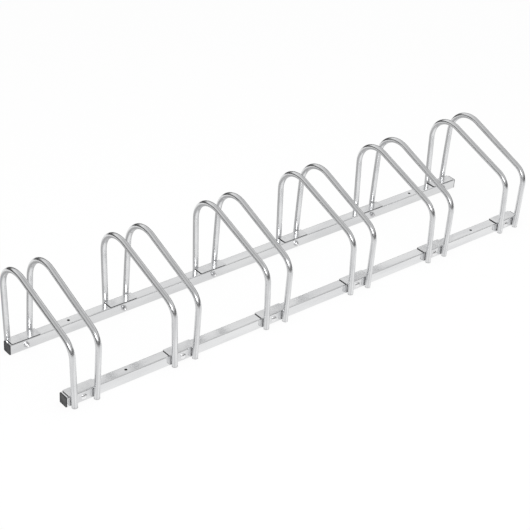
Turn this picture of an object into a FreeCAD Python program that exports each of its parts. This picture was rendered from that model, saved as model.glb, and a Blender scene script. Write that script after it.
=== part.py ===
# Floor rack that holds the front wheels of six bicycles.
#
# Two square-tube rails lie on the floor, one behind the other. Six pairs of bent round-tube
# hoops stand across them. Each pair's four legs are welded to two angle brackets, and every
# bracket sits over a rail's top outer edge, held by one carriage bolt through the rail.
#
# Frame, in millimetres: +X along the rails, -Y the front (the low end of the hoops), +Z up.
# The origin is on the floor, under the middle of the rack.
import FreeCAD, Part
import math
import os
import Sketcher

os.makedirs("parts", exist_ok=True)
doc = FreeCAD.newDocument("bike_rack")

# ---------------------------------------------------------------------------------------
# Driving sizes
# ---------------------------------------------------------------------------------------

SIZES = (
    ("overall_length", 1600, "over both end caps"),
    ("pair_count", 6, "pairs of hoops, one bicycle each"),
    ("end_margin", 50, "rack's end to the middle of its end pair"),
    ("rail_width", 30, "side of the square rail tube"),
    ("rail_wall", 1.2, "wall of the rail tube"),
    ("rail_corner", 3, "outer corner radius of the rail tube"),
    ("rail_gap", 233, "clear distance between the two rails"),
    ("floor_hole", 8, "diameter of the holes for floor fixings"),
    ("floor_hole_inset", 185, "rack's end to the floor hole"),
    ("cap_flange", 3, "thickness of an end cap outside the tube"),
    ("cap_round", 1.2, "rounding of an end cap's outer rim"),
    ("cap_plug", 16, "depth of an end cap inside the tube"),
    ("cap_clearance", 0.15, "gap between an end cap's plug and the tube"),
    ("plate", 2.5, "thickness of a bracket"),
    ("plate_length", 84, "length of a bracket along the rail"),
    ("plate_drop", 27, "how far a bracket reaches down the rail's side"),
    ("plate_bend", 3.5, "outer bend radius of a bracket"),
    ("plate_corner", 2, "rounding of a bracket's free corners"),
    ("tube_diameter", 16, "outer diameter of a hoop's tube"),
    ("tube_wall", 1, "wall of a hoop's tube"),
    ("hoop_height", 270.5, "foot to top of a hoop"),
    ("hoop_spacing", 64, "between the two tubes of a pair, axis to axis, at the feet"),
    ("hoop_slope", 20.5, "fall of the top member towards the front, degrees"),
    ("hoop_lean", 2, "outward lean of each hoop, degrees"),
    ("front_bend", 50, "centreline radius of the front bend"),
    ("rear_bend", 75, "centreline radius of the rear bend"),
    ("foot_lift", 1.5, "hoop's feet above the floor"),
    ("weld_size", 2.6, "radius of a weld bead"),
    ("weld_length", 22, "length of a weld bead along the leg"),
    ("weld_start", 5, "height where a weld bead starts"),
    ("bolt_diameter", 6, "shank of a carriage bolt"),
    ("bolt_length", 45, "carriage bolt, from under the head"),
    ("bolt_hole", 6.6, "clearance hole of the bolt"),
    ("bolt_point", 0.6, "chamfer of the bolt's tip"),
    ("head_diameter", 16, "domed head of the bolt"),
    ("head_height", 4, "rise of the domed head"),
    ("washer_diameter", 16, "outer diameter of the washer"),
    ("washer_thickness", 1.6, "thickness of the washer"),
    ("nut_flats", 10, "hexagon nut, across the flats"),
    ("nut_height", 5.2, "height of the hexagon nut"),
)

sizes = doc.addObject("Spreadsheet::Sheet", "sizes")
for row, (alias, value, note) in enumerate(SIZES, start=1):
    sizes.set(f"A{row}", alias)
    sizes.set(f"B{row}", str(value))
    sizes.set(f"C{row}", note)
    sizes.setAlias(f"B{row}", alias)
doc.recompute()

# Lengths that follow from the driving sizes.
RAIL_LENGTH = "(sizes.overall_length - 2 * sizes.cap_flange)"
RAIL_OUTER_FACE = "(sizes.rail_gap / 2 + sizes.rail_width)"
RAIL_CENTRE = "(sizes.rail_gap / 2 + sizes.rail_width / 2)"
PLATE_FACE = "(sizes.rail_gap / 2 + sizes.rail_width + sizes.plate)"
TUBE_RADIUS = "(sizes.tube_diameter / 2)"
LEG_AXIS = f"({PLATE_FACE} + {TUBE_RADIUS})"
PATTERN_LENGTH = "(sizes.overall_length - 2 * sizes.end_margin)"
PAIR_PITCH = f"({PATTERN_LENGTH} / (sizes.pair_count - 1))"
FLOOR_HOLE_X = "(sizes.overall_length / 2 - sizes.floor_hole_inset)"
PLUG_WIDTH = "(sizes.rail_width - 2 * sizes.rail_wall - 2 * sizes.cap_clearance)"
THROUGH = "(2 * sizes.rail_width)"

X_AXIS = FreeCAD.Vector(1, 0, 0)
Y_AXIS = FreeCAD.Vector(0, 1, 0)
Z_AXIS = FreeCAD.Vector(0, 0, 1)

subparts = []


# ---------------------------------------------------------------------------------------
# Small tools for bodies
# ---------------------------------------------------------------------------------------

def new_body(name):
    """A body whose label is also the name of its file."""
    body = doc.addObject("PartDesign::Body", name)
    body.Label = name
    body.AllowCompound = True
    subparts.append(body)
    return body


def bind(item, **expressions):
    """Tie an object's sizes to the sheet."""
    for name, expression in expressions.items():
        item.setExpression(name, expression)


def place(item, x="0", y="0", z="0", axis=Z_AXIS, angle="0"):
    """Tie an object's place to the sheet."""
    item.Placement = FreeCAD.Placement(FreeCAD.Vector(), FreeCAD.Rotation(axis, 1))
    item.setExpression("Placement.Base.x", x)
    item.setExpression("Placement.Base.y", y)
    item.setExpression("Placement.Base.z", z)
    item.setExpression("Placement.Rotation.Angle", angle)


def origin_part(body, role):
    """One of the body's own origin planes or axes."""
    return next(item for item in body.Origin.OriginFeatures if item.Role == role)


def sketch_on(body, role, name):
    sketch = body.newObject("Sketcher::SketchObject", name)
    sketch.AttachmentSupport = (origin_part(body, role), [""])
    sketch.MapMode = "FlatFace"
    return sketch


def add_box(body, kind, name, length, width, height, x, y, z):
    box = body.newObject(f"PartDesign::{kind}Box", name)
    bind(box, Length=length, Width=width, Height=height)
    place(box, x, y, z)
    return box


def add_cylinder(body, kind, name, radius, height, **where):
    cylinder = body.newObject(f"PartDesign::{kind}Cylinder", name)
    bind(cylinder, Radius=radius, Height=height)
    place(cylinder, **where)
    return cylinder


def straight_edges(shape, direction, keep=lambda middle: True):
    """Names of the straight edges that run along a direction."""
    names = []
    for number, edge in enumerate(shape.Edges, start=1):
        if edge.Curve.TypeId != "Part::GeomLine":
            continue
        run = edge.Vertexes[-1].Point - edge.Vertexes[0].Point
        if abs(run.dot(direction)) > 0.999 * run.Length and keep(edge.CenterOfMass):
            names.append(f"Edge{number}")
    return names


def round_edges(body, name, base, edges, radius):
    rounding = body.newObject("PartDesign::Fillet", name)
    rounding.Base = (base, edges)
    bind(rounding, Radius=radius)
    doc.recompute()
    return rounding


def repeat_along_rail(body, name, originals):
    """One copy for every pair of hoops, at the pairs' pitch."""
    pattern = body.newObject("PartDesign::LinearPattern", name)
    pattern.Originals = originals
    pattern.Direction = (origin_part(body, "X_Axis"), [""])
    bind(pattern, Length=PATTERN_LENGTH, Occurrences="sizes.pair_count")
    body.Tip = pattern
    doc.recompute()
    return pattern


# ---------------------------------------------------------------------------------------
# Rails and their end caps
# ---------------------------------------------------------------------------------------

def make_rail(name, side):
    """Square tube with a cross hole at every pair and an upright hole near each end."""
    body = new_body(name)
    bar = add_box(
        body, "Additive", name + "_bar", RAIL_LENGTH, "sizes.rail_width", "sizes.rail_width",
        f"-{RAIL_LENGTH} / 2", "-sizes.rail_width / 2", "0",
    )
    doc.recompute()
    rounded = round_edges(
        body, name + "_corners", bar, straight_edges(bar.Shape, X_AXIS), "sizes.rail_corner")
    tube = body.newObject("PartDesign::Thickness", name + "_bore")
    ends = [
        f"Face{number}" for number, face in enumerate(rounded.Shape.Faces, start=1)
        if abs(face.normalAt(0, 0).x) > 0.999
    ]
    tube.Base = (rounded, ends)
    tube.Reversed = True
    bind(tube, Value="sizes.rail_wall")
    doc.recompute()
    cross_hole = add_cylinder(
        body, "Subtractive", name + "_cross_hole", "sizes.bolt_hole / 2", THROUGH,
        x=f"-{PATTERN_LENGTH} / 2", y=f"{THROUGH} / 2", z="sizes.rail_width / 2",
        axis=X_AXIS, angle="90",
    )
    doc.recompute()
    repeat_along_rail(body, name + "_cross_holes", [cross_hole])
    floor_hole = add_cylinder(
        body, "Subtractive", name + "_floor_hole", "sizes.floor_hole / 2", THROUGH,
        x=f"-{FLOOR_HOLE_X}", z="-sizes.rail_width / 2",
    )
    doc.recompute()
    other = body.newObject("PartDesign::Mirrored", name + "_floor_holes")
    other.Originals = [floor_hole]
    other.MirrorPlane = (origin_part(body, "YZ_Plane"), [""])
    body.Tip = other
    place(body, y=f"{side} * {RAIL_CENTRE}")
    doc.recompute()


def make_end_cap(name, side, end):
    """Plug cap: a flange on the tube's end and a block inside it, with +X outwards."""
    body = new_body(name)
    add_box(
        body, "Additive", name + "_flange", "sizes.cap_flange", "sizes.rail_width",
        "sizes.rail_width", "0", "-sizes.rail_width / 2", "0",
    )
    plug = add_box(
        body, "Additive", name + "_plug", "sizes.cap_plug", PLUG_WIDTH, PLUG_WIDTH,
        "-sizes.cap_plug", f"-{PLUG_WIDTH} / 2", f"(sizes.rail_width - {PLUG_WIDTH}) / 2",
    )
    doc.recompute()
    rounded = round_edges(
        body, name + "_corners", plug, straight_edges(plug.Shape, X_AXIS), "sizes.rail_corner")
    outside = float(sizes.cap_flange)
    rim = [
        f"Edge{number}" for number, edge in enumerate(rounded.Shape.Edges, start=1)
        if edge.BoundBox.XMin > outside - 0.01
    ]
    round_edges(body, name + "_rim", rounded, rim, "sizes.cap_round")
    place(
        body, f"{end} * {RAIL_LENGTH} / 2", f"{side} * {RAIL_CENTRE}", "0",
        angle="0" if end > 0 else "180",
    )
    doc.recompute()


# ---------------------------------------------------------------------------------------
# Hoops
# ---------------------------------------------------------------------------------------

def draw_hoop_path(sketch):
    """Centreline of a hoop: front leg, front bend, sloping top, rear bend, rear leg."""
    slope = math.radians(sizes.hoop_slope)
    depth = 2 * (sizes.rail_gap / 2 + sizes.rail_width + sizes.plate + sizes.tube_diameter / 2)
    front, rear = sizes.front_bend, sizes.rear_bend
    rear_z = sizes.hoop_height - sizes.tube_diameter / 2 - rear
    rear_start = FreeCAD.Vector(
        depth - rear - rear * math.sin(slope), rear_z + rear * math.cos(slope), 0)
    front_end_x = front - front * math.sin(slope)
    front_end = FreeCAD.Vector(
        front_end_x, rear_start.y - (rear_start.x - front_end_x) * math.tan(slope), 0)
    front_z = front_end.y - front * math.cos(slope)
    foot = FreeCAD.Vector(0, 0, 0)
    front_start = FreeCAD.Vector(0, front_z, 0)
    rear_end = FreeCAD.Vector(depth, rear_z, 0)
    rear_foot = FreeCAD.Vector(depth, 0, 0)
    front_centre = FreeCAD.Vector(front, front_z, 0)
    rear_centre = FreeCAD.Vector(depth - rear, rear_z, 0)

    front_leg = sketch.addGeometry(Part.LineSegment(foot, front_start))
    front_arc = sketch.addGeometry(Part.ArcOfCircle(
        Part.Circle(front_centre, Z_AXIS, front), math.pi / 2 + slope, math.pi))
    top = sketch.addGeometry(Part.LineSegment(front_end, rear_start))
    rear_arc = sketch.addGeometry(Part.ArcOfCircle(
        Part.Circle(rear_centre, Z_AXIS, rear), 0, math.pi / 2 + slope))
    rear_leg = sketch.addGeometry(Part.LineSegment(rear_end, rear_foot))

    rule = Sketcher.Constraint
    for constraint in (
        rule("Coincident", front_leg, 1, -1, 1),
        rule("Vertical", front_leg),
        rule("Vertical", rear_leg),
        rule("PointOnObject", rear_leg, 2, -1),
        rule("Tangent", front_leg, 2, front_arc, 2),
        rule("Tangent", front_arc, 1, top, 1),
        rule("Tangent", top, 2, rear_arc, 2),
        rule("Tangent", rear_arc, 1, rear_leg, 1),
    ):
        sketch.addConstraint(constraint)
    for name, constraint, expression in (
        ("front_bend", rule("Radius", front_arc, front), "sizes.front_bend"),
        ("rear_bend", rule("Radius", rear_arc, rear), "sizes.rear_bend"),
        ("depth", rule("DistanceX", -1, 1, rear_leg, 2, depth), f"2 * {LEG_AXIS}"),
        ("slope", rule("Angle", top, slope), "sizes.hoop_slope"),
        ("rear_bend_height", rule("DistanceY", -1, 1, rear_arc, 3, rear_z),
         f"sizes.hoop_height - {TUBE_RADIUS} - sizes.rear_bend"),
    ):
        number = sketch.addConstraint(constraint)
        sketch.renameConstraint(number, name)
        sketch.setExpression(f"Constraints.{name}", expression)


def draw_tube_section(sketch):
    """Ring on the foot of the front leg."""
    outer_radius = sizes.tube_diameter / 2
    centre = FreeCAD.Vector(0, 0, 0)
    for name, radius, expression in (
        ("outer", outer_radius, TUBE_RADIUS),
        ("inner", outer_radius - sizes.tube_wall, f"{TUBE_RADIUS} - sizes.tube_wall"),
    ):
        circle = sketch.addGeometry(Part.Circle(centre, Z_AXIS, radius))
        sketch.addConstraint(Sketcher.Constraint("Coincident", circle, 3, -1, 1))
        number = sketch.addConstraint(Sketcher.Constraint("Radius", circle, radius))
        sketch.renameConstraint(number, name)
        sketch.setExpression(f"Constraints.{name}", expression)


def make_hoop(name, pair, side):
    """One bent tube; side is -1 for the left and 1 for the right hoop of its pair."""
    body = new_body(name)
    path = sketch_on(body, "YZ_Plane", name + "_path")
    draw_hoop_path(path)
    section = sketch_on(body, "XY_Plane", name + "_section")
    draw_tube_section(section)
    doc.recompute()
    tube = body.newObject("PartDesign::AdditivePipe", name + "_tube")
    tube.Profile = section
    tube.Spine = path
    tube.Mode = "Standard"
    place(
        body,
        f"-{PATTERN_LENGTH} / 2 + {pair} * {PAIR_PITCH} + {side} * sizes.hoop_spacing / 2",
        f"-{LEG_AXIS}", "sizes.foot_lift", axis=Y_AXIS, angle=f"{side} * sizes.hoop_lean",
    )
    doc.recompute()


# ---------------------------------------------------------------------------------------
# Brackets and welds
# ---------------------------------------------------------------------------------------

def make_bracket(name, pair, side):
    """Angle plate over the rail's top outer edge; its own front face looks along -Y."""
    body = new_body(name)
    half = "-sizes.plate_length / 2"
    add_box(
        body, "Additive", name + "_upright", "sizes.plate_length", "sizes.plate",
        "sizes.plate_drop + sizes.plate", half, "-sizes.plate",
        "sizes.rail_width - sizes.plate_drop",
    )
    top = add_box(
        body, "Additive", name + "_top", "sizes.plate_length", "sizes.rail_width + sizes.plate",
        "sizes.plate", half, "-sizes.plate", "sizes.rail_width",
    )
    doc.recompute()
    rail_width, plate = sizes.rail_width, sizes.plate
    outer = straight_edges(
        top.Shape, X_AXIS, lambda p: p.y < -0.9 * plate and p.z > rail_width + 0.9 * plate)
    bend = round_edges(body, name + "_bend", top, outer, "sizes.plate_bend")
    inner = straight_edges(
        bend.Shape, X_AXIS, lambda p: abs(p.y) < 0.01 and abs(p.z - rail_width) < 0.01)
    inner_bend = round_edges(
        body, name + "_inner_bend", bend, inner, "sizes.plate_bend - sizes.plate")
    free = straight_edges(
        inner_bend.Shape, Y_AXIS, lambda p: p.z < rail_width - 0.5 * sizes.plate_drop)
    free += straight_edges(
        inner_bend.Shape, Z_AXIS, lambda p: p.y > 0.5 * rail_width)
    round_edges(body, name + "_corners", inner_bend, free, "sizes.plate_corner")
    add_cylinder(
        body, "Subtractive", name + "_hole", "sizes.bolt_hole / 2", THROUGH,
        y=f"{THROUGH} / 2", z="sizes.rail_width / 2", axis=X_AXIS, angle="90",
    )
    place(
        body, f"-{PATTERN_LENGTH} / 2 + {pair} * {PAIR_PITCH}",
        f"{side} * {RAIL_OUTER_FACE}", "0", angle="0" if side < 0 else "180",
    )
    doc.recompute()


def make_weld_beads(name, side):
    """Beads along both sides of every leg, in the corner between the leg and its bracket."""
    body = new_body(name)
    flank = f"({TUBE_RADIUS} * sin(45))"
    rods = []
    for hand, leg in ((-1, "left"), (1, "right")):
        lean = f"{hand} * sizes.hoop_lean"
        foot = f"{hand} * sizes.hoop_spacing / 2"
        rise = "(sizes.weld_start - sizes.foot_lift)"
        for flank_side, flank_name in ((-1, "a"), (1, "b")):
            rods.append(add_cylinder(
                body, "Additive", f"{name}_{leg}_{flank_name}", "sizes.weld_size",
                "sizes.weld_length",
                x=f"{foot} + {rise} * tan({lean}) + {flank_side} * {flank}",
                z="sizes.weld_start", axis=Y_AXIS, angle=lean,
            ))
    doc.recompute()
    repeat_along_rail(body, name + "_rods", rods)
    legs = [
        add_cylinder(
            body, "Subtractive", f"{name}_{leg}_leg", TUBE_RADIUS, "sizes.hoop_height / 2",
            x=f"{hand} * sizes.hoop_spacing / 2", y=f"-{TUBE_RADIUS}", z="sizes.foot_lift",
            axis=Y_AXIS, angle=f"{hand} * sizes.hoop_lean",
        )
        for hand, leg in ((-1, "left"), (1, "right"))
    ]
    doc.recompute()
    repeat_along_rail(body, name + "_legs", legs)
    add_box(
        body, "Subtractive", name + "_plates", "sizes.overall_length", "sizes.rail_width",
        THROUGH, "-sizes.plate_length / 2", "0", "0",
    )
    place(
        body, f"{side} * {PATTERN_LENGTH} / 2", f"{side} * {PLATE_FACE}", "0",
        angle="0" if side < 0 else "180",
    )
    doc.recompute()


# ---------------------------------------------------------------------------------------
# Fasteners: the bolts' own +Z points out of the rack, their heads rest on the brackets
# ---------------------------------------------------------------------------------------

def place_fasteners(body, side):
    place(
        body, f"-{PATTERN_LENGTH} / 2", f"{side} * {PLATE_FACE}", "sizes.rail_width / 2",
        axis=X_AXIS, angle=f"{side} * -90",
    )
    doc.recompute()


def draw_bolt_profile(sketch):
    """Half of a domed bolt beside its axis: the dome, the shank and its chamfered tip."""
    head_radius, head_height = sizes.head_diameter / 2, sizes.head_height
    shank_radius, length, point = sizes.bolt_diameter / 2, sizes.bolt_length, sizes.bolt_point
    dome_radius = (head_radius ** 2 + head_height ** 2) / (2 * head_height)
    crown = FreeCAD.Vector(0, head_height, 0)
    rim = FreeCAD.Vector(head_radius, 0, 0)
    neck = FreeCAD.Vector(shank_radius, 0, 0)
    shoulder = FreeCAD.Vector(shank_radius, point - length, 0)
    tip = FreeCAD.Vector(shank_radius - point, -length, 0)
    end = FreeCAD.Vector(0, -length, 0)
    dome_centre = FreeCAD.Vector(0, head_height - dome_radius, 0)

    dome = sketch.addGeometry(Part.ArcOfCircle(
        Part.Circle(dome_centre, Z_AXIS, dome_radius),
        math.atan2(-dome_centre.y, head_radius), math.pi / 2))
    under_head = sketch.addGeometry(Part.LineSegment(rim, neck))
    shank = sketch.addGeometry(Part.LineSegment(neck, shoulder))
    chamfer = sketch.addGeometry(Part.LineSegment(shoulder, tip))
    tip_face = sketch.addGeometry(Part.LineSegment(tip, end))
    middle = sketch.addGeometry(Part.LineSegment(end, crown))
    rule = Sketcher.Constraint
    for constraint in (
        rule("Coincident", dome, 1, under_head, 1),
        rule("Coincident", under_head, 2, shank, 1),
        rule("Coincident", shank, 2, chamfer, 1),
        rule("Coincident", chamfer, 2, tip_face, 1),
        rule("Coincident", tip_face, 2, middle, 1),
        rule("Coincident", middle, 2, dome, 2),
        rule("PointOnObject", dome, 3, -2),
        rule("PointOnObject", middle, 1, -2),
        rule("PointOnObject", middle, 2, -2),
        rule("PointOnObject", under_head, 1, -1),
        rule("PointOnObject", under_head, 2, -1),
        rule("Vertical", shank),
        rule("Horizontal", tip_face),
    ):
        sketch.addConstraint(constraint)
    for name, constraint, expression in (
        ("head_radius", rule("DistanceX", -1, 1, dome, 1, head_radius), "sizes.head_diameter / 2"),
        ("head_height", rule("DistanceY", -1, 1, dome, 2, head_height), "sizes.head_height"),
        ("shank_radius", rule("DistanceX", -1, 1, shank, 1, shank_radius),
         "sizes.bolt_diameter / 2"),
        ("length", rule("DistanceY", tip_face, 2, -1, 1, length), "sizes.bolt_length"),
        ("point_width", rule("DistanceX", chamfer, 2, chamfer, 1, point), "sizes.bolt_point"),
        ("point_depth", rule("DistanceY", chamfer, 2, chamfer, 1, point), "sizes.bolt_point"),
    ):
        number = sketch.addConstraint(constraint)
        sketch.renameConstraint(number, name)
        sketch.setExpression(f"Constraints.{name}", expression)


def make_bolts(name, side):
    body = new_body(name)
    profile = sketch_on(body, "XZ_Plane", name + "_profile")
    draw_bolt_profile(profile)
    doc.recompute()
    bolt = body.newObject("PartDesign::Revolution", name + "_bolt")
    bolt.Profile = profile
    bolt.ReferenceAxis = (profile, ["V_Axis"])
    bolt.Angle = 360
    doc.recompute()
    repeat_along_rail(body, name + "_pattern", [bolt])
    place_fasteners(body, side)


def make_washers(name, side):
    body = new_body(name)
    seat = "(-sizes.plate - sizes.rail_width - sizes.washer_thickness)"
    disc = add_cylinder(
        body, "Additive", name + "_disc", "sizes.washer_diameter / 2", "sizes.washer_thickness",
        z=seat,
    )
    hole = add_cylinder(
        body, "Subtractive", name + "_hole", "sizes.bolt_hole / 2", "sizes.washer_thickness",
        z=seat,
    )
    doc.recompute()
    repeat_along_rail(body, name + "_pattern", [disc, hole])
    place_fasteners(body, side)


def make_nuts(name, side):
    body = new_body(name)
    seat = "(-sizes.plate - sizes.rail_width - sizes.washer_thickness - sizes.nut_height)"
    hexagon = body.newObject("PartDesign::AdditivePrism", name + "_hexagon")
    hexagon.Polygon = 6
    bind(
        hexagon, Circumradius="sizes.nut_flats / 2 / cos(30)", Height="sizes.nut_height",
    )
    place(hexagon, z=seat)
    thread = add_cylinder(
        body, "Subtractive", name + "_thread", "sizes.bolt_diameter / 2", "sizes.nut_height",
        z=seat,
    )
    doc.recompute()
    repeat_along_rail(body, name + "_pattern", [hexagon, thread])
    place_fasteners(body, side)


# ---------------------------------------------------------------------------------------
# The rack
# ---------------------------------------------------------------------------------------

FRONT, REAR = -1, 1

for side, where in ((FRONT, "front"), (REAR, "rear")):
    make_rail(f"rail_{where}", side)
    make_end_cap(f"end_cap_{where}_left", side, -1)
    make_end_cap(f"end_cap_{where}_right", side, 1)
    for pair in range(int(sizes.pair_count)):
        make_bracket(f"bracket_{where}_{pair + 1}", pair, side)
    make_weld_beads(f"weld_beads_{where}", side)
    make_bolts(f"carriage_bolts_{where}", side)
    make_washers(f"washers_{where}", side)
    make_nuts(f"hex_nuts_{where}", side)

for pair in range(int(sizes.pair_count)):
    make_hoop(f"hoop_{pair + 1}_left", pair, -1)
    make_hoop(f"hoop_{pair + 1}_right", pair, 1)

doc.recompute()

failed = [item.Name for item in doc.Objects if {"Invalid", "Error"} & set(item.State)]
if failed:
    raise RuntimeError("objects that did not build: " + ", ".join(failed))
for body in subparts:
    if body.Shape.isNull() or not body.Shape.isValid():
        raise RuntimeError("no valid shape: " + body.Label)
for body in subparts:
    body.Shape.exportStep(f"parts/{body.Label}.step")
    box = body.Shape.BoundBox
    print(
        body.Label, len(body.Shape.Solids), round(body.Shape.Volume, 1),
        [round(value, 2) for value in (box.XMin, box.XMax, box.YMin, box.YMax, box.ZMin, box.ZMax)],
    )
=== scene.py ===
import bmesh
import bpy
import math
from mathutils import Euler, Matrix, Quaternion, Vector


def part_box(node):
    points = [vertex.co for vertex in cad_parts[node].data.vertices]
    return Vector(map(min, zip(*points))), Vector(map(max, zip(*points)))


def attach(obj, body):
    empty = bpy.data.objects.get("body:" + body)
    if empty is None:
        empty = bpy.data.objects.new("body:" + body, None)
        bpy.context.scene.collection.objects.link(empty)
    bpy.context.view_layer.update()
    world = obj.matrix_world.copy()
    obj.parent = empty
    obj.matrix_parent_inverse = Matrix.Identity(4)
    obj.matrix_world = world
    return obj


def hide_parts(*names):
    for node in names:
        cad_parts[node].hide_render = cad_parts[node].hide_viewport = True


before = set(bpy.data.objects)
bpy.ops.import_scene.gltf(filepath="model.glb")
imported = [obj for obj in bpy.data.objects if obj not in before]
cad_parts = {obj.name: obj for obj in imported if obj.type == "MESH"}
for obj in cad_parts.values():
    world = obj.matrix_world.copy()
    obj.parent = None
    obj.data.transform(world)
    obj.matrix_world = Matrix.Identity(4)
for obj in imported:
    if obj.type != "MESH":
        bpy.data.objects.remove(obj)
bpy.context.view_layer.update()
scene = bpy.context.scene

# ---------------------------------------------------------------------------------------
# The camera: a long lens above the rack's front left corner, looking down along the
# rails. It leans a little to one side, as the photograph's does.
# ---------------------------------------------------------------------------------------

lens_length, sensor_width = 101.2, 36
camera_spot = (-2.3402, -2.6037, 2.2417)
look_down, look_right, tilt = math.radians(32.05), math.radians(41.15), math.radians(4.01)

camera_data = bpy.data.cameras.new("photo_camera")
camera_data.lens = lens_length
camera_data.sensor_width = sensor_width
camera = bpy.data.objects.new("photo_camera", camera_data)
camera.location = camera_spot
camera.rotation_mode = "QUATERNION"
camera.rotation_quaternion = (
    Euler((math.pi / 2 - look_down, 0, -look_right)).to_quaternion()
    @ Quaternion((0, 0, 1), tilt)
)
scene.collection.objects.link(camera)
scene.camera = camera
scene.view_settings.view_transform = "Standard"

# ---------------------------------------------------------------------------------------
# The floor: pale studio paper that runs out to white and keeps the rack's shadow. What
# the metal mirrors of it is dimmer far away, and darker still in a painted shade band just
# behind the rack.
# ---------------------------------------------------------------------------------------

floor_size = 40
floor_colour = (0.86, 0.86, 0.86, 1)
floor_white_share, floor_shine = 0.92, 0.94
pool_edge, pool_end = 1.2, 2.8
shade_band_front, shade_band_middle, shade_band_back, shade_band_depth = 0.0, 0.34, 0.75, 0.5


class Wire:
    """A shader socket that takes part in sums."""

    def __init__(self, socket):
        self.socket = socket
        self.tree = socket.id_data

    @staticmethod
    def node(tree, kind, output=0, settings=None, **inputs):
        """Adds a node and gives the wire that leaves its output.

        Its settings are set first, and then its sockets: Base_Color stands for the one
        named Base Color, and _0 for the first one.
        """
        node = tree.nodes.new(kind)
        for name, value in (settings or {}).items():
            if name == "stops":
                elements = node.color_ramp.elements
                while len(elements) < len(value):
                    elements.new(0.5)
                for element, (position, grey) in zip(elements, value):
                    element.position = position
                    element.color = (grey, grey, grey, 1)
            else:
                setattr(node, name, value)
        for name, value in inputs.items():
            key = int(name[1:]) if name[0] == "_" else name.replace("_", " ")
            if isinstance(value, Wire):
                tree.links.new(value.socket, node.inputs[key])
            else:
                node.inputs[key].default_value = value
        return Wire(node.outputs[output]) if len(node.outputs) else None

    def value(self, operation, *others, flip=False):
        """Adds a Math node on this wire and the others, in turned order for a flip."""
        terms = [self, *others]
        if flip:
            terms.reverse()
        inputs = {f"_{number}": term for number, term in enumerate(terms)}
        return Wire.node(self.tree, "ShaderNodeMath", 0, {"operation": operation}, **inputs)

    def __add__(self, other):
        return self.value("ADD", other)

    __radd__ = __add__

    def __sub__(self, other):
        return self.value("SUBTRACT", other)

    def __rsub__(self, other):
        return self.value("SUBTRACT", other, flip=True)

    def __mul__(self, other):
        return self.value("MULTIPLY", other)

    __rmul__ = __mul__

    def between(self, low, high):
        """0 below low, 1 above high, smooth on the way."""
        return Wire.node(
            self.tree, "ShaderNodeMapRange", "Result", {"interpolation_type": "SMOOTHSTEP"},
            Value=self, From_Min=low, From_Max=high)


def new_material(name):
    material = bpy.data.materials.new(name)
    material.use_nodes = True
    material.node_tree.nodes.clear()
    return material, material.node_tree


def ray(tree, kind):
    """1 where the light path is of this kind, such as a camera ray."""
    return Wire.node(tree, "ShaderNodeLightPath", f"Is {kind} Ray")


bpy.ops.mesh.primitive_plane_add(size=floor_size)
floor = bpy.context.object
floor.name = "floor"
floor_white, tree = new_material("floor_white")
spot = Wire.node(tree, "ShaderNodeNewGeometry", "Position")
away = Wire.node(tree, "ShaderNodeVectorMath", "Value", {"operation": "LENGTH"}, _0=spot)
behind = Wire.node(tree, "ShaderNodeSeparateXYZ", "Y", Vector=spot)
# Painted shade: what the metal mirrors of the floor is darkened in a band just behind the rack.
painted_shade_band = behind.between(shade_band_front, shade_band_middle) - behind.between(shade_band_middle, shade_band_back)
shine = floor_shine * (1 - away.between(pool_edge, pool_end)) * (1 - shade_band_depth * painted_shade_band)
whiteness = floor_white_share + (1 - floor_white_share) * away.between(pool_edge, 2 * pool_end)
mirrored = ray(tree, "Glossy").value("MAXIMUM", ray(tree, "Transmission"))
glowing = (ray(tree, "Camera") * whiteness).value("MAXIMUM", mirrored)
paper = Wire.node(tree, "ShaderNodeBsdfDiffuse", Color=floor_colour)
glow = Wire.node(tree, "ShaderNodeEmission", Color=1 - mirrored * (1 - shine), Strength=1)
surface = Wire.node(tree, "ShaderNodeMixShader", _0=glowing, _1=paper, _2=glow)
Wire.node(tree, "ShaderNodeOutputMaterial", Surface=surface)
floor.data.materials.append(floor_white)

# ---------------------------------------------------------------------------------------
# The room and its lights: a backdrop that is white to the camera, while the metal mirrors
# walls that are dark low down and pale above. One light box stands at the front left, and
# a larger one hangs overhead, which the metal doesn't mirror.
# ---------------------------------------------------------------------------------------

backdrop_white = (1, 1, 1, 1)
back_direction, back_edge = (0.70, 0.71, 0), 0.3
front_wall = ((0.0, 0.10), (0.21, 0.10), (0.36, 0.64), (0.75, 0.68), (1.0, 0.58))
back_wall = ((0.0, 0.09), (0.23, 0.09), (0.42, 0.90), (0.75, 0.74), (1.0, 0.58))
light_aim = (0, 0, 0.1)
front_spot, front_size, front_power = (-2.7, -2.9, 2.4), (2.2, 1.3), 46
overhead_spot, overhead_size, overhead_power = (0, -0.4, 3.2), (3.2, 2.4), 60


def blend_colour(tree, share, first, second):
    return Wire.node(
        tree, "ShaderNodeMix", 2, {"data_type": "RGBA"}, _0=share, _6=first, _7=second)


world = bpy.data.worlds.new("studio")
scene.world = world
world.use_nodes = True
tree = world.node_tree
tree.nodes.clear()
direction = Wire.node(tree, "ShaderNodeTexCoord", "Generated")
height = Wire.node(tree, "ShaderNodeSeparateXYZ", "Z", Vector=direction)
backward = Wire.node(
    tree, "ShaderNodeVectorMath", "Value", {"operation": "DOT_PRODUCT"},
    _0=direction, _1=back_direction)
front_grey = Wire.node(tree, "ShaderNodeValToRGB", 0, {"stops": front_wall}, Fac=height)
back_grey = Wire.node(tree, "ShaderNodeValToRGB", 0, {"stops": back_wall}, Fac=height)
walls = blend_colour(tree, backward.between(-back_edge, back_edge), front_grey, back_grey)
room = blend_colour(tree, ray(tree, "Camera"), walls, backdrop_white)
background = Wire.node(tree, "ShaderNodeBackground", Color=room, Strength=1)
Wire.node(tree, "ShaderNodeOutputWorld", Surface=background)


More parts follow.
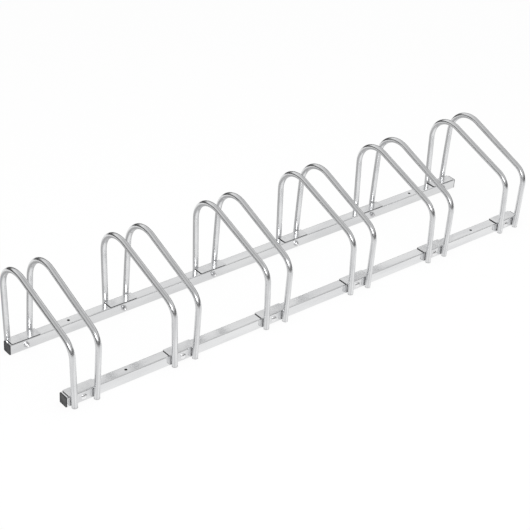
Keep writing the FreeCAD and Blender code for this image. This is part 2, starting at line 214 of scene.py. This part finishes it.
def soft_light(name, spot, size, power):
    data = bpy.data.lights.new(name, "AREA")
    data.shape = "RECTANGLE"
    data.size, data.size_y = size
    data.energy = power
    lamp = bpy.data.objects.new(name, data)
    lamp.location = spot
    aim = Vector(light_aim) - Vector(spot)
    lamp.rotation_euler = aim.to_track_quat("-Z", "Y").to_euler()
    scene.collection.objects.link(lamp)
    return lamp


soft_light("front_light", front_spot, front_size, front_power)
overhead = soft_light("overhead_light", overhead_spot, overhead_size, overhead_power)
overhead.visible_glossy = False

# ---------------------------------------------------------------------------------------
# Rails: square steel tube, drawn, drilled and then bright zinc plated. The plating is
# smooth, a little cloudy, with faint drawing lines along the tube.
# ---------------------------------------------------------------------------------------

rail_light, rail_dull = (0.845, 0.85, 0.855, 1), (0.77, 0.775, 0.785, 1)
rail_cloud_scale, rail_speck_scale = 1.6, 900
rail_cloud_stretch, rail_line_stretch, rail_wave_stretch = (3, 16, 16), (6, 900, 900), (7, 30, 30)
rail_dulling, roughening = (0.35, 0.7), (0.4, 0.8)
rail_roughness, rail_cloud_roughness, rail_line_roughness = 0.07, 0.07, 0.05
rail_line_height, rail_speck_height, rail_wave_height = 0.25, 0.08, 1.6


def noise(tree, vector, scale=1, detail=2, roughness=0.5):
    return Wire.node(
        tree, "ShaderNodeTexNoise", "Fac", Vector=vector, Scale=scale, Detail=detail,
        Roughness=roughness)


def stretched(tree, vector, scale):
    return Wire.node(
        tree, "ShaderNodeVectorMath", 0, {"operation": "MULTIPLY"}, _0=vector, _1=scale)


def finish_metal(tree, colour, roughness, height, strength, distance):
    """Plated steel; a height of 1 stands out by the distance."""
    bump = Wire.node(
        tree, "ShaderNodeBump", Strength=strength, Distance=distance, Height=height)
    metal = Wire.node(
        tree, "ShaderNodeBsdfPrincipled", Base_Color=colour, Roughness=roughness,
        Normal=bump, Metallic=1.0)
    Wire.node(tree, "ShaderNodeOutputMaterial", Surface=metal)


rail_zinc, tree = new_material("rail_zinc")
spot = Wire.node(tree, "ShaderNodeTexCoord", "Object")
cloud = noise(
    tree, stretched(tree, spot, rail_cloud_stretch), rail_cloud_scale, detail=4, roughness=0.6)
line = noise(tree, stretched(tree, spot, rail_line_stretch))
speck = noise(tree, spot, rail_speck_scale)
wave = noise(tree, stretched(tree, spot, rail_wave_stretch))
finish_metal(
    tree,
    colour=blend_colour(tree, cloud.between(*rail_dulling), rail_light, rail_dull),
    roughness=(
        rail_roughness + rail_cloud_roughness * cloud.between(*roughening)
        + rail_line_roughness * line),
    height=rail_line_height * line + rail_speck_height * speck + rail_wave_height * wave,
    strength=0.5, distance=0.0005)
for name in ("rail_front", "rail_rear"):
    for slot in bpy.data.objects[name].material_slots:
        slot.material = rail_zinc

# ---------------------------------------------------------------------------------------
# End caps: dark plastic plugs pushed into the rails' ends. The moulding has rounded rims,
# a slightly sunk face and a fine satin grain.
# ---------------------------------------------------------------------------------------

cap_corner, cap_least_corner = 0.003, 0.0009
cap_rim, cap_border, cap_ramp, cap_sink = 0.0012, 0.0025, 0.0007, 0.0004
rim_steps, corner_steps = 6, 6
cap_dark, cap_pale = (0.022, 0.023, 0.025, 1), (0.036, 0.037, 0.040, 1)
cap_roughness, cap_patch_roughness = 0.38, 0.16
cap_grain_scale, cap_patch_scale = 2600, 90


def add_piece(name, mesh, material, node):
    """Hangs a finished mesh on the rack in place of its solid."""
    piece = bpy.data.objects.new(name, mesh)
    scene.collection.objects.link(piece)
    mesh.materials.append(material)
    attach(piece, "root")
    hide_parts(node)
    return piece


def smooth(mesh, angle):
    """Shades smooth, with sharp edges only where faces meet at more than the angle."""
    mesh.polygons.foreach_set("use_smooth", [True] * len(mesh.polygons))
    mesh.set_sharp_from_angle(angle=math.radians(angle))


def rounded_square(half, corner):
    """Points around a square with round corners, anticlockwise."""
    points = []
    for quarter in range(4):
        turn = quarter * math.pi / 2
        for step in range(corner_steps + 1):
            angle = step / corner_steps * math.pi / 2
            across = half - corner + corner * math.cos(angle)
            up = half - corner + corner * math.sin(angle)
            points.append((
                across * math.cos(turn) - up * math.sin(turn),
                across * math.sin(turn) + up * math.cos(turn)))
    return points


def skin_rings(shape, rings, closed=False):
    """Quads from ring to ring, and then either back to the first or a face at each end."""
    loops = [[shape.verts.new(point) for point in ring] for ring in rings]
    pairs = list(zip(loops, loops[1:]))
    if closed:
        pairs.append((loops[-1], loops[0]))
    for lower, upper in pairs:
        count = len(lower)
        for number in range(count):
            after = (number + 1) % count
            shape.faces.new((lower[number], lower[after], upper[after], upper[number]))
    if not closed:
        shape.faces.new(list(reversed(loops[0])))
        shape.faces.new(loops[-1])


def to_mesh(shape, name):
    bmesh.ops.recalc_face_normals(shape, faces=shape.faces)
    mesh = bpy.data.meshes.new(name)
    shape.to_mesh(mesh)
    shape.free()
    return mesh


cap_plastic, tree = new_material("cap_plastic")
spot = Wire.node(tree, "ShaderNodeTexCoord", "Object")
grain = noise(tree, spot, cap_grain_scale)
patch = noise(tree, spot, cap_patch_scale, detail=3)
bump = Wire.node(tree, "ShaderNodeBump", Strength=0.35, Distance=0.00015, Height=grain)
plastic = Wire.node(
    tree, "ShaderNodeBsdfPrincipled",
    Base_Color=blend_colour(tree, patch, cap_dark, cap_pale),
    Roughness=cap_roughness + cap_patch_roughness * patch, Normal=bump)
Wire.node(tree, "ShaderNodeOutputMaterial", Surface=plastic)

for where in ("front", "rear"):
    for end, outward in (("left", -1), ("right", 1)):
        node = f"end_cap_{where}_{end}"
        low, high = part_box(node)
        rail_low, rail_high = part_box(f"rail_{where}")
        face, rail_end = (high.x, rail_high.x) if outward > 0 else (low.x, rail_low.x)
        depth = abs(face - rail_end)
        middle = (low + high) / 2
        half = (high.y - low.y) / 2
        profile = [(0, 0)]
        for step in range(rim_steps + 1):
            angle = step / rim_steps * math.pi / 2
            profile.append((
                depth - cap_rim + cap_rim * math.sin(angle), cap_rim * (1 - math.cos(angle))))
        profile.append((depth, cap_rim + cap_border))
        profile.append((depth - cap_sink, cap_rim + cap_border + cap_ramp))
        rings = []
        for out, inset in profile:
            corner = max(cap_corner - inset, cap_least_corner)
            rings.append([
                (rail_end + outward * out, middle.y + y, middle.z + z)
                for y, z in rounded_square(half - inset, corner)])
        shape = bmesh.new()
        skin_rings(shape, rings)
        mesh = to_mesh(shape, node)
        smooth(mesh, angle=50)
        add_piece(f"cap_{where}_{end}", mesh, cap_plastic, node)

# ---------------------------------------------------------------------------------------
# Hoops: round steel tube bent to a long low arch, high at the back and sloping to the
# front, cut square at the feet. Bright zinc, with drawing lines that follow the tube, and
# painted contact shade darkening the last few millimetres at the feet.
# ---------------------------------------------------------------------------------------

pair_count, leg_spacing = 6, 0.064
tube_radius, tube_wall = 0.008, 0.001
hoop_height, foot_lift = 0.2705, 0.0015
front_bend, rear_bend = 0.050, 0.075
slope, lean = math.radians(20.5), math.radians(2)
flattening = 0.025
rim_round, seen_inside = 0.00035, 0.02
bend_step, tube_sides = math.radians(3), 40
front_leg_parts, top_parts, rear_leg_parts = 12, 12, 14

hoop_light, hoop_dull = (0.86, 0.865, 0.87, 1), (0.78, 0.785, 0.795, 1)
# The second of these greys is painted contact shade for the feet.
hoop_streak, hoop_foot_shade = (0.52, 0.525, 0.535, 1), (0.30, 0.30, 0.31, 1)
streak_share, foot_shade_share = 0.55, 0.7
hoop_cloud_scale, hoop_speck_scale = 26, 1100
hoop_line_stretch, hoop_streak_stretch, hoop_wave_stretch = (5, 1400, 1), (3, 210, 1), (26, 70, 1)
hoop_dulling, streak_range = (0.35, 0.75), (0.38, 0.62)
foot_shade_low, foot_shade_high = 0.0018, 0.0042
foot_low, foot_high = 0.028, 0.048
hoop_roughness, hoop_cloud_roughness, hoop_streak_roughness = 0.16, 0.06, 0.10
hoop_line_roughness, hoop_foot_roughness = 0.06, 0.06
hoop_line_height, hoop_speck_height, hoop_wave_height = 0.2, 0.06, 1.2


def around(steps):
    """The angles of points that stand evenly round a circle."""
    return [2 * math.pi * step / steps for step in range(steps)]


def straight_run(start, end, parts):
    """Points of the centreline between two ends, both left out."""
    return [
        (start[0] + (end[0] - start[0]) * part / parts,
         start[1] + (end[1] - start[1]) * part / parts, 0)
        for part in range(1, parts)]


def bent_run(middle, radius, start, end):
    """Points of the centreline round a bend, from one angle to another."""
    steps = round(abs(end - start) / bend_step)
    points = []
    for step in range(steps + 1):
        share = step / steps
        angle = start + (end - start) * share
        points.append((
            middle[0] + radius * math.cos(angle), middle[1] + radius * math.sin(angle),
            math.sin(share * math.pi)))
    return points


def hoop_path(depth):
    """Points (across, up, squeeze) from the front foot to the rear one."""
    rear_z = hoop_height - tube_radius - rear_bend
    rear = bent_run((depth - rear_bend, rear_z), rear_bend, math.pi / 2 + slope, 0)
    top_across, top_up = rear[0][:2]
    front_across = front_bend - front_bend * math.sin(slope)
    front_up = top_up - (top_across - front_across) * math.tan(slope)
    front_z = front_up - front_bend * math.cos(slope)
    front = bent_run((front_bend, front_z), front_bend, math.pi, math.pi / 2 + slope)
    return [
        (0, 0, 0), *straight_run((0, 0), (0, front_z), front_leg_parts), *front,
        *straight_run(front[-1], rear[0], top_parts), *rear,
        *straight_run((depth, rear_z), (depth, 0), rear_leg_parts), (depth, 0, 0)]


def hoop_mesh(name, foot, depth, side):
    """A bent tube, open at its feet as far in as can be seen."""
    points = hoop_path(depth)
    rings, spans, travelled = [], [], 0
    for number, (across, up, squeeze) in enumerate(points):
        before = points[max(number - 1, 0)]
        after = points[min(number + 1, len(points) - 1)]
        along = Vector((0, after[0] - before[0], after[1] - before[1])).normalized()
        travelled += math.dist((across, up), before[:2])
        rings.append((
            Vector((0, across, up)), along.cross(Vector((1, 0, 0))),
            tube_radius * (1 + 0.5 * flattening * squeeze),
            tube_radius * (1 - flattening * squeeze)))
        spans.append(travelled)

    inner = tube_radius - tube_wall
    rim = (
        (seen_inside, inner), (rim_round, inner), (0, inner + rim_round),
        (0, tube_radius - rim_round), (rim_round, tube_radius))
    first, last = (
        [(centre + Vector((0, 0, up)), outward, radius, radius) for up, radius in rim]
        for centre, outward, wide, tall in (rings[0], rings[-1]))
    rings = first + rings[1:-1] + last[::-1]
    spans = [0.0] * len(rim) + spans[1:-1] + [travelled] * len(rim)

    shape = bmesh.new()
    run = shape.loops.layers.uv.new("run")
    stance = Matrix.Translation(foot) @ Matrix.Rotation(side * lean, 4, "Y")
    loops = []
    for centre, outward, wide, tall in rings:
        loops.append([
            shape.verts.new(stance @ (
                centre + Vector((wide * math.sin(turn), 0, 0))
                + outward * (tall * math.cos(turn))))
            for turn in around(tube_sides)])
    girth = 2 * math.pi * tube_radius
    for ring, (lower, upper) in enumerate(zip(loops, loops[1:])):
        for number in range(tube_sides):
            after = (number + 1) % tube_sides
            face = shape.faces.new((lower[number], lower[after], upper[after], upper[number]))
            left, right = number / tube_sides * girth, (number + 1) / tube_sides * girth
            begin, end = spans[ring], spans[ring + 1]
            corners = ((begin, left), (begin, right), (end, right), (end, left))
            for loop, corner in zip(face.loops, corners):
                loop[run].uv = corner
    for loop in (loops[0], loops[-1]):
        shape.faces.new(loop)
    return to_mesh(shape, name)


hoop_zinc, tree = new_material("hoop_zinc")
spot = Wire.node(tree, "ShaderNodeTexCoord", "Object")
along = Wire.node(tree, "ShaderNodeUVMap", "UV", {"uv_map": "run"})
cloud = noise(tree, spot, hoop_cloud_scale, detail=4, roughness=0.6)
line = noise(tree, stretched(tree, along, hoop_line_stretch))
streak = noise(tree, stretched(tree, along, hoop_streak_stretch)).between(*streak_range)
speck = noise(tree, spot, hoop_speck_scale)
wave = noise(tree, stretched(tree, along, hoop_wave_stretch))
level = Wire.node(tree, "ShaderNodeSeparateXYZ", "Z", Vector=spot)
low_down = 1 - level.between(foot_low, foot_high)
# Painted contact shade: the colour darkens over the last few millimetres above the floor.
foot_shade = 1 - level.between(foot_shade_low, foot_shade_high)
hoop_colour = blend_colour(tree, cloud.between(*hoop_dulling), hoop_light, hoop_dull)
hoop_colour = blend_colour(tree, streak_share * streak, hoop_colour, hoop_streak)
hoop_colour = blend_colour(tree, foot_shade_share * foot_shade, hoop_colour, hoop_foot_shade)
finish_metal(
    tree,
    colour=hoop_colour,
    roughness=(
        hoop_roughness + hoop_cloud_roughness * cloud.between(*roughening)
        + hoop_streak_roughness * streak + hoop_line_roughness * line
        + hoop_foot_roughness * low_down),
    height=hoop_line_height * line + hoop_speck_height * speck + hoop_wave_height * wave,
    strength=0.4, distance=0.0004)

for pair in range(1, pair_count + 1):
    bracket_low, bracket_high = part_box(f"bracket_front_{pair}")
    pair_x = (bracket_low.x + bracket_high.x) / 2
    for hand, side in (("left", -1), ("right", 1)):
        node = f"hoop_{pair}_{hand}"
        low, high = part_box(node)
        foot = Vector((pair_x + side * leg_spacing / 2, low.y + tube_radius, foot_lift))
        mesh = hoop_mesh(node, foot, high.y - low.y - 2 * tube_radius, side)
        smooth(mesh, angle=50)
        add_piece(f"tube_{pair}_{hand}", mesh, hoop_zinc, node)

# ---------------------------------------------------------------------------------------
# Brackets: steel strip sheared to length and folded to an angle that hooks over the
# rail's outer top edge. The sheared edges are duller than the plated faces and painted near
# black, most of all round the top plate: partly the bare cut steel, partly painted shade of
# the gap against the rail.
# ---------------------------------------------------------------------------------------

plate, plate_bend, plate_corner, plate_edge = 0.0025, 0.0035, 0.002, 0.0003
fold_steps, plate_corner_steps, plate_edge_steps = 8, 4, 2
near, largest_edge_face = 1e-6, 3e-4
facing_end, facing_lip, facing_floor, toe_height = 0.3, 0.5, 0.9, 1e-4

bracket_light, bracket_dull = (0.82, 0.825, 0.83, 1), (0.72, 0.725, 0.735, 1)
# Near black: painted shade of the gap against the rail, over the bare cut steel.
bracket_cut_and_shade = (0.06, 0.06, 0.065, 1)
drop_edge_shade_share, drop_top, plate_top = 0.25, 0.0275, 0.0300
bracket_cloud_scale, bracket_speck_scale, bracket_wave_scale = 30, 1000, 32
bracket_dulling = (0.35, 0.75)
bracket_roughness, bracket_cloud_roughness, bracket_cut_roughness = 0.18, 0.12, 0.22
bracket_speck_height, bracket_wave_height = 0.1, 1.4

bracket_zinc, tree = new_material("bracket_zinc")
spot = Wire.node(tree, "ShaderNodeTexCoord", "Object")
cloud = noise(tree, spot, bracket_cloud_scale, detail=4, roughness=0.6)
speck = noise(tree, spot, bracket_speck_scale)
wave = noise(tree, spot, bracket_wave_scale)
level = Wire.node(tree, "ShaderNodeSeparateXYZ", "Z", Vector=spot)
# Painted shade: the cut edges go near black, fullest round the top plate, for the shade of the
# gap against the rail as well as the bare cut steel.
sheared = (
    Wire.node(tree, "ShaderNodeAttribute", "Fac", {"attribute_name": "sheared"})
    * (drop_edge_shade_share + (1 - drop_edge_shade_share) * level.between(drop_top, plate_top)))
face_colour = blend_colour(tree, cloud.between(*bracket_dulling), bracket_light, bracket_dull)
finish_metal(
    tree,
    colour=blend_colour(tree, sheared, face_colour, bracket_cut_and_shade),
    roughness=(
        bracket_roughness + bracket_cloud_roughness * cloud.between(*roughening)
        + bracket_cut_roughness * sheared),
    height=bracket_speck_height * speck + bracket_wave_height * wave,
    strength=0.45, distance=0.0004)


def angle_outline(drop, reach):
    """Section of the angle, from (0, 0) at the rail's outer top edge: across and up."""
    points = [(-plate, -drop), (-plate, plate - plate_bend)]
    for step in range(1, fold_steps + 1):
        angle = math.pi - step / fold_steps * math.pi / 2
        points.append((
            -plate + plate_bend + plate_bend * math.cos(angle),
            plate - plate_bend + plate_bend * math.sin(angle)))
    points += [(reach, plate), (reach, 0)]
    inside = plate_bend - plate
    for step in range(fold_steps + 1):
        angle = math.pi / 2 + step / fold_steps * math.pi / 2
        points.append((inside + inside * math.cos(angle), -inside + inside * math.sin(angle)))
    points.append((0, -drop))
    return points


for where, side in (("front", -1), ("rear", 1)):
    rail_low, rail_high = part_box(f"rail_{where}")
    edge_y = rail_low.y if side < 0 else rail_high.y
    reach = rail_high.y - rail_low.y
    lip_y = edge_y - side * reach
    for pair in range(1, pair_count + 1):
        node = f"bracket_{where}_{pair}"
        low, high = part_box(node)
        shape = bmesh.new()
        skin_rings(shape, [
            [(x, edge_y - side * across, rail_high.z + up)
             for across, up in angle_outline(rail_high.z - low.z, reach)]
            for x in (low.x, high.x)])
        bmesh.ops.recalc_face_normals(shape, faces=shape.faces)
        free_edges = [
            edge for edge in shape.edges
            if abs(edge.verts[0].co.x - edge.verts[1].co.x) < near
            and (all(abs(vert.co.z - low.z) < near for vert in edge.verts)
                 or all(abs(vert.co.y - lip_y) < near for vert in edge.verts))]
        bmesh.ops.bevel(
            shape, geom=free_edges, offset=plate_corner, segments=plate_corner_steps,
            affect="EDGES", profile=0.5)
        mark = shape.faces.layers.float.new("sheared")
        for face in shape.faces:
            lift = face.calc_center_median().z - low.z
            at_end = abs(face.normal.x) > facing_end
            at_lip = face.normal.y * side < -facing_lip
            at_toe = face.normal.z < -facing_floor and lift < toe_height
            is_edge = (at_end or at_lip or at_toe) and face.calc_area() < largest_edge_face
            face[mark] = 1.0 if is_edge else 0.0
        mesh = to_mesh(shape, node)
        smooth(mesh, angle=40)
        piece = add_piece(f"angle_{where}_{pair}", mesh, bracket_zinc, node)
        softened = piece.modifiers.new("edges", "BEVEL")
        softened.width = plate_edge
        softened.segments = plate_edge_steps
        softened.limit_method = "ANGLE"
        softened.angle_limit = math.radians(50)

# ---------------------------------------------------------------------------------------
# Weld beads: short runs of weld in the corners between the legs and the brackets, two on
# each leg, with the close ripples of a hand weld, plated over with the rest. They are
# coloured far darker than the zinc, partly heat tint and partly painted shade of the corner,
# with a painted shadow at their foot.

weld_radius, weld_length, weld_start = 0.0026, 0.022, 0.005
weld_thinnest, weld_taper, weld_seat = 0.0002, 6, math.radians(45)
weld_ripple, ripple_pitch = 0.10, 0.0013
weld_sides, weld_rings = 14, 56

weld_tint_and_shade_pale, weld_tint_and_shade_dark = (0.42, 0.42, 0.43, 1), (0.16, 0.16, 0.165, 1)
# The near-black colour is a painted shadow for the gap below each bead.
weld_gap_shadow, gap_shadow_share, gap_shadow_low, gap_shadow_high = (0.06, 0.06, 0.062, 1), 0.8, 0.007, 0.013
weld_roughness, soot_roughness = 0.34, 0.2
soot_scale, soot_range, weld_grit_scale = 240, (0.3, 0.7), 1500

weld_zinc, tree = new_material("weld_zinc")
spot = Wire.node(tree, "ShaderNodeTexCoord", "Object")
soot = noise(tree, spot, soot_scale, detail=3)
level = Wire.node(tree, "ShaderNodeSeparateXYZ", "Z", Vector=spot)
# Painted shade: both bead colours are far darker than zinc, for heat tint and for the shade in
# the corner.
bead_colour = blend_colour(tree, soot.between(*soot_range), weld_tint_and_shade_pale, weld_tint_and_shade_dark)
finish_metal(
    tree,
    # Painted shadow: near black at the foot of each bead, where the gap below the weld lies.
    colour=blend_colour(
        tree, gap_shadow_share - gap_shadow_share * level.between(gap_shadow_low, gap_shadow_high),
        bead_colour, weld_gap_shadow),
    roughness=weld_roughness + soot_roughness * soot,
    height=noise(tree, spot, weld_grit_scale, detail=3),
    strength=0.4, distance=0.0002)

for where, side in (("front", -1), ("rear", 1)):
    shape = bmesh.new()
    for pair in range(1, pair_count + 1):
        low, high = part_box(f"bracket_{where}_{pair}")
        pair_x = (low.x + high.x) / 2
        plate_y = low.y if side < 0 else high.y
        for hand in (-1, 1):
            stance = (
                Matrix.Translation((pair_x + hand * leg_spacing / 2, plate_y, foot_lift))
                @ Matrix.Rotation(hand * lean, 4, "Y"))
            for flank in (-1, 1):
                across = flank * tube_radius * math.sin(weld_seat)
                rings = []
                for number in range(weld_rings + 1):
                    share = number / weld_rings
                    up = weld_start - foot_lift + share * weld_length
                    swell = min(1, weld_taper * share, weld_taper * (1 - share)) ** 0.5
                    ripple = 1 - weld_ripple * abs(math.sin(math.pi * up / ripple_pitch))
                    radius = max(weld_radius * swell * ripple, weld_thinnest)
                    rings.append([
                        stance @ Vector((
                            across + radius * math.cos(turn), radius * math.sin(turn), up))
                        for turn in around(weld_sides)])
                skin_rings(shape, rings)
    mesh = to_mesh(shape, f"weld_{where}")
    smooth(mesh, angle=60)
    add_piece(f"welds_{where}", mesh, weld_zinc, f"weld_beads_{where}")

# ---------------------------------------------------------------------------------------
# Fasteners: M6 carriage bolts through the brackets and rails, domed heads outside, and a
# washer and a hexagon nut on each bolt inside. Zinc plated, with rolled threads; the nuts
# and washers take a darker copy of the zinc, which is painted shade.
# ---------------------------------------------------------------------------------------

bolt_radius, bolt_length, shank_share = 0.003, 0.045, 0.93
thread_pitch, thread_depth, thread_run = 0.001, 0.00055, 0.0135
thread_lead_in, tip_share, rings_per_thread = 0.0008, 0.82, 8
head_radius, head_height, head_rim = 0.008, 0.004, 0.0006
head_chamfer, dome_top, dome_steps = 0.0002, 0.0003, 12
washer_radius, washer_hole, washer_thickness, washer_round = 0.008, 0.0033, 0.0016, 0.0003
nut_flats, nut_height, nut_play = 0.010, 0.0052, 0.0004
nut_face_share, nut_chamfer = 0.96, math.radians(30)
rail_side = 0.030
spin_steps, round_steps = 48, 3
turn_by_pair, turn_by_side = math.radians(37), math.radians(11)
scuff_scale, scuff_range, scuff_roughness, fastener_speck_scale = 420, (0.4, 0.75), 0.12, 900


def fastener_zinc(name, bright, scuffed, roughness):
    """Zinc on small hardware, scuffed in the plating drum and by the spanner."""
    material, tree = new_material(name)
    spot = Wire.node(tree, "ShaderNodeTexCoord", "Object")
    scuff = noise(tree, spot, scuff_scale, detail=3, roughness=0.6)
    finish_metal(
        tree,
        colour=blend_colour(tree, scuff.between(*scuff_range), bright, scuffed),
        roughness=roughness + scuff_roughness * scuff,
        height=noise(tree, spot, fastener_speck_scale),
        strength=0.3, distance=0.0001)
    return material


bolt_zinc = fastener_zinc(
    "bolt_zinc", bright=(0.93, 0.93, 0.935, 1), scuffed=(0.76, 0.76, 0.77, 1), roughness=0.14)
# Painted shade: the nuts and washers get a darker copy of the bolts' zinc, which dims their
# highlights.
shaded_nut_zinc = fastener_zinc(
    "shaded_nut_zinc", bright=(0.74, 0.74, 0.75, 1), scuffed=(0.58, 0.58, 0.59, 1), roughness=0.24)


def off_axis(stance, radius, turn, along):
    """The point at a radius, a turn and a distance along the bolt's axis."""
    return stance @ Vector((radius * math.cos(turn), radius * math.sin(turn), along))


def add_spun(shape, stance, profile, closed=False):
    """A profile of (radius, along) pairs turned about the bolt's axis."""
    skin_rings(shape, [
        [off_axis(stance, radius, turn, along) for turn in around(spin_steps)]
        for radius, along in profile], closed)


def add_bolt(shape, stance):
    rise = head_height - head_rim
    dome = (head_radius ** 2 + rise ** 2) / (2 * rise)
    widest = math.asin(head_radius / dome)
    head = [
        (bolt_radius, 0), (head_radius - head_chamfer, 0), (head_radius, head_chamfer),
        (head_radius, head_rim)]
    for step in range(1, dome_steps):
        angle = widest * (1 - step / dome_steps)
        head.append((dome * math.sin(angle), head_height - dome * (1 - math.cos(angle))))
    head.append((dome_top, head_height))
    add_spun(shape, stance, head)

    rings = []
    count = round(thread_run / thread_pitch * rings_per_thread)
    for number in range(count + 1):
        along = -bolt_length + thread_run * number / count
        lead_in = min(1, (along + bolt_length) / thread_lead_in)
        ring = []
        for step, turn in enumerate(around(spin_steps)):
            phase = (along / thread_pitch - step / spin_steps) % 1
            cut = abs(phase - 0.5) * 2
            radius = bolt_radius - thread_depth * cut
            radius *= tip_share + (1 - tip_share) * lead_in
            ring.append(off_axis(stance, radius, turn, along))
        rings.append(ring)
    skin_rings(shape, rings)

    shank = bolt_radius * shank_share
    add_spun(shape, stance, [(shank, -bolt_length + thread_run), (shank, 0)])


def add_washer(shape, stance, seat):
    profile = []
    corners = ((washer_radius, 0), (washer_radius, 1), (washer_hole, 1), (washer_hole, 0))
    for number, (radius, far) in enumerate(corners):
        inward = -1 if radius == washer_radius else 1
        toward = -1 if far else 1
        for step in range(round_steps + 1):
            angle = (number - 1 + step / round_steps) * math.pi / 2
            profile.append((
                radius + washer_round * (inward + math.cos(angle)),
                seat + far * washer_thickness + washer_round * (toward + math.sin(angle))))
    add_spun(shape, stance, profile, closed=True)


def add_nut(shape, stance, seat):
    flat = nut_flats / 2
    face, hole = flat * nut_face_share, bolt_radius + nut_play
    rings = [[] for corner in range(6)]
    for turn in around(2 * spin_steps):
        hexagon = flat / math.cos((turn + math.pi / 6) % (math.pi / 3) - math.pi / 6)
        fall = (hexagon - face) * math.tan(nut_chamfer)
        section = (
            (face, 0), (hexagon, fall), (hexagon, nut_height - fall), (face, nut_height),
            (hole, nut_height), (hole, 0))
        for ring, (radius, along) in zip(rings, section):
            ring.append(off_axis(stance, radius, turn, seat + along))
    skin_rings(shape, rings, closed=True)


for where, side in (("front", -1), ("rear", 1)):
    bolts, washers, nuts = bmesh.new(), bmesh.new(), bmesh.new()
    rail_low, rail_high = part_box(f"rail_{where}")
    for pair in range(1, pair_count + 1):
        low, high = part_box(f"bracket_{where}_{pair}")
        plate_y = low.y if side < 0 else high.y
        stance = (
            Matrix.Translation(((low.x + high.x) / 2, plate_y, (rail_low.z + rail_high.z) / 2))
            @ Matrix.Rotation(side * -math.pi / 2, 4, "X")
            @ Matrix.Rotation(turn_by_pair * pair + turn_by_side * side, 4, "Z"))
        washer_seat = -plate - rail_side - washer_thickness
        add_bolt(bolts, stance)
        add_washer(washers, stance, washer_seat)
        add_nut(nuts, stance, washer_seat - nut_height)
    for shape, kind, material, node in (
        (bolts, "bolts", bolt_zinc, f"carriage_bolts_{where}"),
        (washers, "flat_washers", shaded_nut_zinc, f"washers_{where}"),
        (nuts, "nuts", shaded_nut_zinc, f"hex_nuts_{where}"),
    ):
        mesh = to_mesh(shape, f"{kind}_{where}")
        smooth(mesh, angle=32)
        add_piece(f"{kind}_{where}", mesh, material, node)
